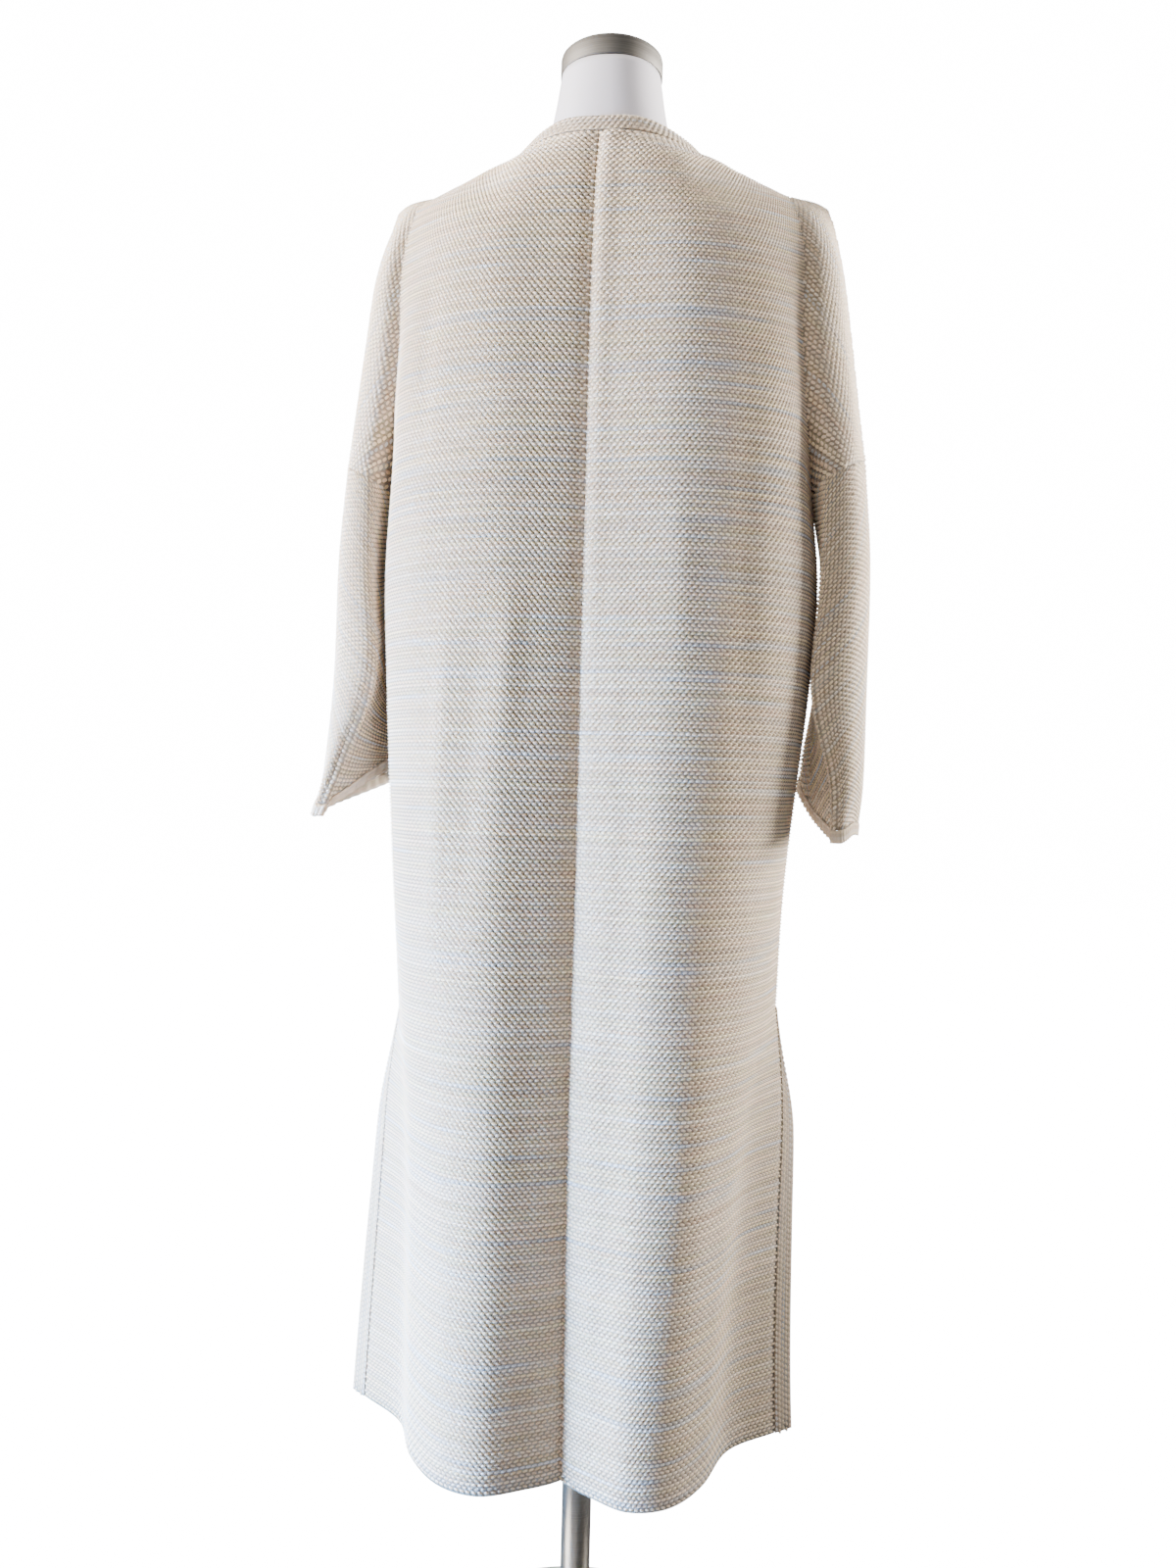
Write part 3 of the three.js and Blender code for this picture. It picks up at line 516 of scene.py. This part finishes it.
def folded(surface, folds):
    """Moves the surface along its normal for each fold in the list."""
    x, z = surface[..., 0] * 1000, surface[..., 2] * 1000
    lift = np.zeros(x.shape)
    for x_top, z_top, x_low, z_low, width, depth in folds:
        share = (z_top - z) / (z_top - z_low)
        line = x_top + (x_low - x_top) * share
        ends = smooth(share * 2.5) * smooth((1 - share) * 2.5)
        lift += depth * ends * np.exp(-(((x - line) / width) ** 2))
    return surface + normals_of(surface) * lift[..., None] / 1000


def wall(name, surface, uv, out, inside, material, mirror, closed=False):
    """Closed cloth wall: the grid moved out and in along its normals, with a rounded rim."""
    rows, columns = surface.shape[:2]
    number = np.arange(rows * columns).reshape(rows, columns)
    right = np.roll(number, -1, 1) if closed else number[:, 1:]
    left = number if closed else number[:, :-1]
    quads = np.stack([left[:-1], left[1:], right[1:], right[:-1]], -1).reshape(-1, 4)
    flat = surface.reshape(-1, 3)
    quads = quads[~np.isnan(flat[quads]).any((1, 2))]
    used, quads = np.unique(quads, return_inverse=True)
    quads = quads.reshape(-1, 4)
    points, marks = flat[used], uv.reshape(-1, 2)[used]
    a, b, c, d = (points[quads[:, k]] for k in range(4))
    facing = np.cross(c - a, b - d)
    normal = np.zeros_like(points)
    for k in range(4):
        np.add.at(normal, quads[:, k], facing)
    normal *= 1 / np.linalg.norm(normal, axis=1, keepdims=True)
    edges = np.concatenate([quads[:, [k, (k + 1) % 4]] for k in range(4)])
    key, position, uses = np.unique(np.sort(edges, 1), axis=0, return_index=True,
                                    return_counts=True)
    rim = edges[position[uses == 1]]
    away = np.zeros_like(points)
    outward = np.cross(points[rim[:, 1]] - points[rim[:, 0]], normal[rim[:, 0]])
    for k in range(2):
        np.add.at(away, rim[:, k], outward)
    away /= np.maximum(np.linalg.norm(away, axis=1, keepdims=True), 1e-12)
    count = len(points)
    middle = points + normal * (out - inside) / 2 + away * 0.4 * (out + inside)
    layers = np.concatenate([points + normal * out, points - normal * inside, middle])
    first, second = rim.T
    faces = np.concatenate([
        quads, quads[:, ::-1] + count,
        np.stack([second, first, first + 2 * count, second + 2 * count], 1),
        np.stack([second + 2 * count, first + 2 * count, first + count, second + count], 1)])
    kept, faces = np.unique(faces, return_inverse=True)
    return add_piece(name, layers[kept], faces.reshape(-1, 4), material,
                     np.tile(marks, (3, 1))[kept], mirror)


# Ovals of one stitch: places along, across and above it, in shares of the stitch's length, the
# row's height and the stitch's own height; then the triangles between them. The plain oval has
# fewer, for the hidden fronts.
FULL_OVAL = np.array([
    (-0.22, 0.0, 0.95), (0.22, 0.0, 0.95), (-0.50, 0.03, -0.35), (-0.33, -0.41, -0.35),
    (0.0, -0.50, -0.35), (0.33, -0.42, -0.35), (0.50, -0.03, -0.35), (0.33, 0.42, -0.35),
    (0.0, 0.50, -0.35), (-0.33, 0.41, -0.35),
]), np.array([
    (0, 3, 2), (0, 4, 3), (0, 1, 4), (1, 5, 4), (1, 6, 5), (1, 7, 6), (1, 8, 7), (1, 0, 8),
    (0, 9, 8), (0, 2, 9),
])
PLAIN_OVAL = np.array([
    (-0.2, 0.0, 0.9), (0.2, 0.0, 0.9), (-0.50, 0.03, -0.35), (-0.25, -0.48, -0.35),
    (0.25, -0.48, -0.35), (0.50, -0.03, -0.35), (0.25, 0.46, -0.35), (-0.25, 0.46, -0.35),
]), np.array([
    (0, 3, 2), (0, 1, 3), (1, 4, 3), (1, 5, 4), (1, 6, 5), (1, 7, 6), (1, 0, 7), (0, 2, 7),
])


def locate(knots, values):
    """Fractional place of each value in a rising list, going on past its ends."""
    low = np.clip(np.searchsorted(knots, values) - 1, 0, len(knots) - 2)
    return low + (values - knots[low]) / (knots[low + 1] - knots[low])


def sample(surface, row, column):
    """Places at fractional rows and columns of a grid, going on straight past its edges."""
    i = np.clip(np.floor(row).astype(int), 0, surface.shape[0] - 2)
    j = np.clip(np.floor(column).astype(int), 0, surface.shape[1] - 2)
    a, b = (row - i)[..., None], (column - j)[..., None]
    near = surface[i, j] * (1 - b) + surface[i, j + 1] * b
    return near * (1 - a) + (surface[i + 1, j] * (1 - b) + surface[i + 1, j + 1] * b) * a


def level_lattice(surface, columns, pitch):
    """Stitch places along level courses, and which of them lie on the cloth."""
    high, low = surface[..., 2].max(), surface[..., 2].min()
    courses = high - (np.arange(int((high - low) / pitch)) + 0.5) * pitch
    heights = sample(surface, np.arange(len(surface))[:, None] + 0 * columns,
                     columns + np.zeros((len(surface), 1)))[..., 2]
    at = np.stack([locate(-line, -courses) for line in heights.T], 1)
    inside = (at > 0.05) & (at < len(surface) - 1.05)
    at = np.clip(at, -3, len(surface) + 2)
    return sample(surface, at, columns + 0 * at), inside


def spans(surface):
    """Length across the grid at its middle row, and down it at its middle column."""
    row, column = surface[len(surface) // 2], surface[:, surface.shape[1] // 2]
    return [np.concatenate([[0], np.cumsum(np.linalg.norm(np.diff(line, axis=0), axis=1))])
            for line in (row, column)]


def slanted_lattice(surface, degrees, length, pitch):
    """Stitch places along courses that fall by this angle as they go across the grid, with the
    grid's own stitch and course numbers for its UV."""
    s, t = spans(surface)
    c, d = np.cos(np.radians(degrees)), np.sin(np.radians(degrees))
    stitch = (s * c + t[:, None] * d) / length
    course = (t[:, None] * c - s * d) / pitch
    i = np.arange(np.floor(stitch.min()), np.ceil(stitch.max()) + 1) + 0.5
    k = np.arange(np.floor(course.min()), np.ceil(course.max()) + 1)[:, None] + 0.5
    i = i + 0.25 * np.where(k % 2 < 1, 1, -1)
    across, along = i * length * c - k * pitch * d, i * length * d + k * pitch * c
    inside = (across > 0) & (across < s[-1]) & (along > 0.0005) & (along < t[-1] - 0.0005)
    return (sample(surface, locate(t, along), locate(s, across)), inside,
            np.stack([stitch, course], -1) / 100)


def column_marks(surface, row, spacing):
    """Fractional column of each stitch, evenly spaced along one row of the grid, and for every
    grid column how many stitches lie before it."""
    steps = np.linalg.norm(np.diff(surface[row], axis=0), axis=1)
    along = np.concatenate([[0], np.cumsum(steps)])
    count = max(1, round(along[-1] / spacing))
    middles = (np.arange(count) + 0.5) * along[-1] / count
    return np.interp(middles, along, np.arange(len(along))), along / along[-1] * count


def stitched(name, places, inside, height, lift, material, mirror, slants=(0.2,) * 3,
             length=0.92, fat=0.84, stagger=0.0, lead=0, oval=FULL_OVAL):
    """Stitches at the places inside the cloth, as one joined mesh. Every third row is a proud
    one, with longer stitches; `slants` gives the lean of it and of the next two."""
    along, below = np.gradient(places, axis=1), np.gradient(places, axis=0)
    places = places + along * (stagger / 2 * np.where(np.arange(len(places)) % 2, 1, -1)
                               )[:, None, None]
    normal = np.cross(along, below)
    normal /= np.maximum(np.linalg.norm(normal, axis=-1, keepdims=True), 1e-12)
    heading = along / np.maximum(np.linalg.norm(along, axis=-1, keepdims=True), 1e-12)
    level = np.cross(normal, heading)
    tall = np.abs((below * level).sum(-1, keepdims=True))
    row, column = np.nonzero(inside)
    shape, triangles = oval
    turn = (row + lead) % 3
    reach = length * np.where(turn == 0, 1.1, 1.0)[:, None] * shape[:, 0]
    rise = fat * shape[:, 1] + np.array(slants)[turn][:, None] * shape[:, 0]
    if mirror:
        rise = rise - 2 * np.array(slants)[turn][:, None] * shape[:, 0]
    at, along, level, tall, normal = (
        part[inside][:, None] for part in (places, along, level, tall, normal))
    points = (at + reach[..., None] * along + rise[..., None] * tall * level
              + (lift + shape[:, 2:] * height) * normal)
    faces = triangles + np.arange(len(row))[:, None, None] * len(shape)
    uv = np.stack([column[:, None] + 0.5 + shape[:, 0] * 0.9,
                   row[:, None] + 0.5 + shape[:, 1] * 0.9 + lead], -1) / 100
    return add_piece(name, points, faces.reshape(-1, 3), material, uv.reshape(-1, 2), mirror)


def course_uv(height, marks, pitch):
    """The UV of a panel with level courses, counted down from its highest place."""
    return np.stack([np.broadcast_to(marks, height.shape),
                     (height.max() - height) / pitch], -1) / 100


def sewn(node, cloth, stitches):
    """Puts a cloth piece and its stitches on the one body, in its solid's place."""
    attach(cloth, "root")
    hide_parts(node)
    for part in stitches:
        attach(part, "root")


STITCH = 0.0054
COURSE = 0.0033
STITCH_HEIGHT = 0.0014
CLOTH_OUT, CLOTH_IN = 0.0004, 0.0015  # the ground's faces, out and in from the drawn surface
BODY_SLANTS = (0.12, 0.3, -0.3)
SHOULDER_SLANT = 52
SLEEVE_SLANT = 38
SHOULDER_COLUMNS = 16
down = np.linspace(0, 1, TABLE_ROWS * STEPS + 1)
shoulder_down = np.linspace(0, 1, UNDERARM_ROW * STEPS + 1)
shoulder_across = np.linspace(0, 1, SHOULDER_COLUMNS + 1)
backs = {}
for side, worn in WORN.items():
    mirror = side == "right"
    u = np.concatenate([np.linspace(0, 0.12, 14)[:-1], np.linspace(0.12, 1, 34)])
    body = hang(panel(BACK_ROWS, back_top(u), np.maximum(0, 1 - (1 - u) * 6), u, down),
                worn["skirt"], worn["slit"])
    backs[side] = body
    body = settled(body, mirror)
    x = body[..., :1] * 1000
    rolled = np.exp(-((x / 4) ** 2)) * -3 + np.exp(-(((x - 11) / 8) ** 2)) * 1.3
    tucked = np.exp(-((x / 9) ** 2)) * -2.4
    body = body + (rolled if mirror else tucked) * (0, 0.001, 0)
    body = folded(body, BACK_FOLDS[side])
    shoulder = settled(dropped_shoulder(0, shoulder_across, shoulder_down), mirror)
    shoulder[:, 0] = body[:len(shoulder), -1]
    columns, reach = column_marks(body, len(down) // 2, STITCH)
    places, inside = level_lattice(body, columns, COURSE)
    drop, drop_inside, drop_uv = slanted_lattice(shoulder, SHOULDER_SLANT, STITCH, COURSE)
    whole = np.full((len(down), len(u) + SHOULDER_COLUMNS, 3), np.nan)
    uv = np.zeros((*whole.shape[:2], 2))
    whole[:, :len(u)] = body
    whole[:len(shoulder), len(u):] = shoulder[:, 1:]
    uv[:, :len(u)] = course_uv(body[..., 2], reach, COURSE)
    uv[:len(shoulder), len(u):] = drop_uv[:, 1:]
    cloth = wall(f"back_{side}_cloth", whole, uv, CLOTH_OUT, CLOTH_IN, panel_ground, mirror)
    knit = stitched(f"back_{side}_stitches", places, inside, STITCH_HEIGHT, CLOTH_OUT,
                    panel_yarn, mirror, BODY_SLANTS, stagger=0.5)
    drop = stitched(f"shoulder_back_{side}_stitches", drop, drop_inside, STITCH_HEIGHT,
                    CLOTH_OUT, panel_yarn, mirror, BODY_SLANTS, lead=12)
    sewn(f"back_{side}", cloth, [knit, drop])

# Fronts: two open panels, cut in one with the front of the dropped shoulder. They are hidden in
# the photograph, so they hang plainly with a few soft folds.
FRONT_FOLDS = {
    "left": [(96, 1180, 104, 760, 11, 2.4), (134, 1060, 138, 620, 12, -2.2),
             (84, 620, 92, 300, 14, -2.0), (150, 560, 156, 290, 12, 2.0)],
    "right": [(100, 1150, 106, 700, 12, 2.2), (130, 1100, 134, 560, 11, -2.4),
              (82, 700, 88, 330, 13, 1.8), (152, 520, 150, 290, 12, -1.8)],
}
fronts = {}
for side, worn in WORN.items():
    mirror = side == "right"
    u = np.linspace(0, 1, 31)
    body = hang(panel(FRONT_ROWS, shoulder_line(0.168 - 0.076 * u),
                      np.maximum(0, 1 - u * 4), u, down), worn["skirt"])
    fronts[side] = body
    body = folded(settled(body, mirror), FRONT_FOLDS[side])
    shoulder = settled(dropped_shoulder(1, shoulder_across, shoulder_down)[:, ::-1], mirror)
    shoulder[:, -1] = body[:len(shoulder), 0]
    columns, reach = column_marks(body, len(down) // 2, STITCH)
    places, inside = level_lattice(body, columns, COURSE)
    drop, drop_inside, drop_uv = slanted_lattice(shoulder, -SHOULDER_SLANT, STITCH, COURSE)
    whole = np.full((len(down), len(u) + SHOULDER_COLUMNS, 3), np.nan)
    uv = np.zeros((*whole.shape[:2], 2))
    whole[:, SHOULDER_COLUMNS:] = body
    whole[:len(shoulder), :SHOULDER_COLUMNS] = shoulder[:, :-1]
    uv[:, SHOULDER_COLUMNS:] = course_uv(body[..., 2], reach, COURSE)
    uv[:len(shoulder), :SHOULDER_COLUMNS] = drop_uv[:, :-1]
    cloth = wall(f"front_{side}_cloth", whole, uv, CLOTH_OUT, CLOTH_IN, panel_ground, mirror)
    knit = stitched(f"front_{side}_stitches", places, inside, STITCH_HEIGHT, CLOTH_OUT,
                    panel_yarn, mirror, BODY_SLANTS, stagger=0.5, oval=PLAIN_OVAL)
    drop = stitched(f"shoulder_front_{side}_stitches", drop, drop_inside, STITCH_HEIGHT,
                    CLOTH_OUT, panel_yarn, mirror, BODY_SLANTS, lead=12, oval=PLAIN_OVAL)
    sewn(f"front_{side}", cloth, [knit, drop])

# Lower sleeves: soft tubes sewn to the dropped shoulders, hanging empty and pressed flat
# against the body. The knitted rows slant down towards the body, and the underarm seam stands
# as a soft welt down the back of the sleeve to the hem.
SLEEVE_ROWS = np.array([  # over the arm, front outside, front inside, inner, ridge, back outside
    ((253, -5, 1075), (240, -58, 1065), (216, -62, 1055), (211.5, -5, 1050), (208, 52, 1055),
     (238, 46, 1065)),
    ((256, -10, 965), (238, -72, 968), (212, -78, 968), (208, -15, 962), (203, 49, 960),
     (239, 42, 962)),
    ((259, -14, 880), (232, -82, 895), (201, -84, 905), (204, -22, 896), (226, 44, 884),
     (249, 38, 880)),
    ((261, -16, 843), (226, -92, 868), (197, -84, 882), (208, -22, 862), (236, 46, 842),
     (256, 30, 842)),
]) / 1000
RIDGE_COLUMN = 4
HALF_ROUND = 48
sleeve_ends = {}
for side, worn in WORN.items():
    mirror = side == "right"
    u = np.arange(2 * HALF_ROUND) / (2 * HALF_ROUND)
    over = np.concatenate([dropped_shoulder(1, 1 - 2 * u[:HALF_ROUND], np.array([1.0])),
                           dropped_shoulder(0, 2 * u[HALF_ROUND:] - 1, np.array([1.0]))], 1)[0]
    share = (np.arange(4) + 1)[:, None] / 4
    rows = SLEEVE_ROWS.copy()
    rows[:, 3:5, ::2] += np.array(worn["hem"]) / 1000 * share[..., None] ** 2
    rings = spline(rows.transpose(1, 0, 2), u, closed=True).transpose(1, 0, 2)
    rings[..., 2] -= worn["longer"] * share
    rings[..., 0] += worn["cuff"] * share**2 * smooth((rings[..., 0] - 0.2) / 0.058)
    tube = spline(np.concatenate([over[None], rings]), np.linspace(0, 1, 57))
    outward = np.cross(np.roll(tube, -1, 1) - np.roll(tube, 1, 1), np.gradient(tube, axis=0))
    outward /= np.linalg.norm(outward, axis=-1, keepdims=True)
    girth = np.linalg.norm(np.roll(tube[-1], 1, 0) - tube[-1], axis=1).sum()
    aside = (u - RIDGE_COLUMN / 6) * girth
    welt = 0.0044 * np.exp(-((aside / 0.006) ** 2))
    sunk = 0.001 * np.exp(-(((np.abs(aside) - 0.009) / 0.004) ** 2))
    below = smooth((1.0 - tube[..., 2]) / 0.08)
    tube = tube + outward * ((welt - sunk) * below)[..., None]
    sleeve_ends[side] = tube
    ring = np.concatenate([tube, tube[:, :1]], 1)
    halves = []
    uv = np.zeros((*ring.shape[:2], 2))
    for face, start, slant in (("front", 0, SLEEVE_SLANT),
                               ("back", HALF_ROUND, -SLEEVE_SLANT)):
        half = slice(start, start + HALF_ROUND + 1)
        places, inside, uv[:, half] = slanted_lattice(ring[:, half], slant, STITCH, COURSE)
        halves.append(stitched(
            f"sleeve_{face}_{side}_stitches", places, inside, STITCH_HEIGHT, CLOTH_OUT,
            panel_yarn, mirror, BODY_SLANTS, lead=24))
    cloth = wall(f"sleeve_{side}_cloth", tube, uv[:, :-1], CLOTH_OUT, CLOTH_IN, panel_ground,
                 mirror, closed=True)
    sewn(f"sleeve_{side}", cloth, halves)

# Cuffs: the sleeve's ribbed hem, 48 small upright ribs round a ring 12 mm high, knitted on in
# the bands' yarn. Each starts 0.2 mm below the sleeve's edge.
RIBS = 48
PLACES_PER_RIB = 6
for side in WORN:
    tube = sleeve_ends[side]
    at = np.arange(RIBS * PLACES_PER_RIB) / (RIBS * PLACES_PER_RIB)
    edge = spline(tube[-1], at, closed=True)
    above = spline(tube[-2], at, closed=True)
    fall = edge - above
    fall /= np.linalg.norm(fall, axis=1, keepdims=True)
    height = np.linspace(0.0002, 0.012, 7)
    surface = edge[None] + fall[None] * height[:, None, None]
    rib = 0.0008 * np.cos(at * RIBS * 2 * np.pi) * smooth((height[:, None] - 0.0005) / 0.002)
    around = np.roll(edge, -1, 0) - np.roll(edge, 1, 0)
    out = np.cross(around, fall)
    out /= np.linalg.norm(out, axis=1, keepdims=True)
    surface = surface + out[None] * rib[..., None]
    uv = np.stack(np.broadcast_arrays(at * RIBS, height[:, None] / 0.003), -1) / 100
    cuff = wall(f"cuff_{side}_rib", surface, uv, 0.0017, 0.0017, band_yarn, side == "right",
                closed=True)
    sewn(f"cuff_{side}", cuff, [])

# Bands: the neckband, the front bands and the slit bands are double knit strips. Their stitches
# run lengthwise in lanes, and a row of darker linking stitches holds each to its panel.


def neck_lean(seam):
    """The way across the band: it leans in by 0.42 at the back and 0.8 at the neck's sides."""
    inward = 0.42 + 0.38 * smooth((np.abs(seam[:, :1]) - 0.03) / 0.062)
    lean = -seam * (1, 1, 0)
    lean *= inward / np.linalg.norm(lean, axis=-1, keepdims=True)
    lean[:, 2:] = np.sqrt(1 - inward**2)
    return lean


def band(name, seam, across, lanes, mirror):
    """A strip from the seam line outwards: `across` is the way to the free edge, with the
    band's width as its length at each place of the line."""
    share = np.linspace(1, 0, 9)[:, None, None]
    surface = settled(seam[None] + across[None] * share, mirror)
    outward = surface * (1, 1, 0)
    if (normals_of(surface) * outward).sum(-1).mean() < 0:
        surface = surface[:, ::-1]
    width = spans(surface)[1][-1]
    places, inside, uv = slanted_lattice(surface, 0, STITCH, width / lanes)
    cloth = wall(f"{name}_cloth", surface, uv, 0.0013, 0.0020, band_ground, mirror)
    knit = stitched(f"{name}_stitches", places, inside, 0.0011, 0.0013, band_yarn, mirror,
                    (0.25, 0.25, 0.25), length=0.95, lead=36)
    places, inside, _ = slanted_lattice(surface[-3:], 0, 0.0042, width / 4)
    linking = stitched(f"{name}_linking", places, inside, 0.0008, 0.0007, seam_yarn, mirror,
                       (0.3, 0.3, 0.3), length=0.8, fat=0.8)
    return cloth, [knit, linking]


NECKBAND_WIDTH = 0.018
FRONT_BAND_WIDTH = 0.021
SLIT_BAND_WIDTH = 0.021
arc = np.linspace(-0.5, 0.5, 81)
seam = back_top(np.abs(arc)) * np.stack([np.sign(arc), 1 + 0 * arc, 1 + 0 * arc], -1)
cloth, parts = band("neckband", seam, neck_lean(seam) * NECKBAND_WIDTH, 4, False)
sewn("neckband", cloth, parts)
for side in WORN:
    mirror = side == "right"
    seam = fronts[side][:, -1]
    flat = smooth(down * TABLE_ROWS / 2)[:, None]
    across = neck_lean(seam) * (1 - flat) + np.array([-1, 0.05, 0]) * flat
    wide = NECKBAND_WIDTH + (FRONT_BAND_WIDTH - NECKBAND_WIDTH) * flat
    across *= wide / np.linalg.norm(across, axis=1, keepdims=True)
    cloth, parts = band(f"front_band_{side}", seam, across, 5, mirror)
    sewn(f"front_band_{side}", cloth, parts)
    for face, body, edge, beside in (("back", backs[side], -1, -2),
                                     ("front", fronts[side], 0, 1)):
        seam = body[SLIT_ROW * STEPS:, edge]
        across = (seam - body[SLIT_ROW * STEPS:, beside]) * (1, 1, 0)
        across /= np.linalg.norm(across, axis=1, keepdims=True)
        taper = np.maximum(smooth((0.65 - seam[:, 2:]) / 0.12), 0.02)
        across = across * SLIT_BAND_WIDTH * taper
        cloth, parts = band(f"slit_band_{face}_{side}", seam, across, 5, mirror)
        sewn(f"slit_band_{face}_{side}", cloth, parts)
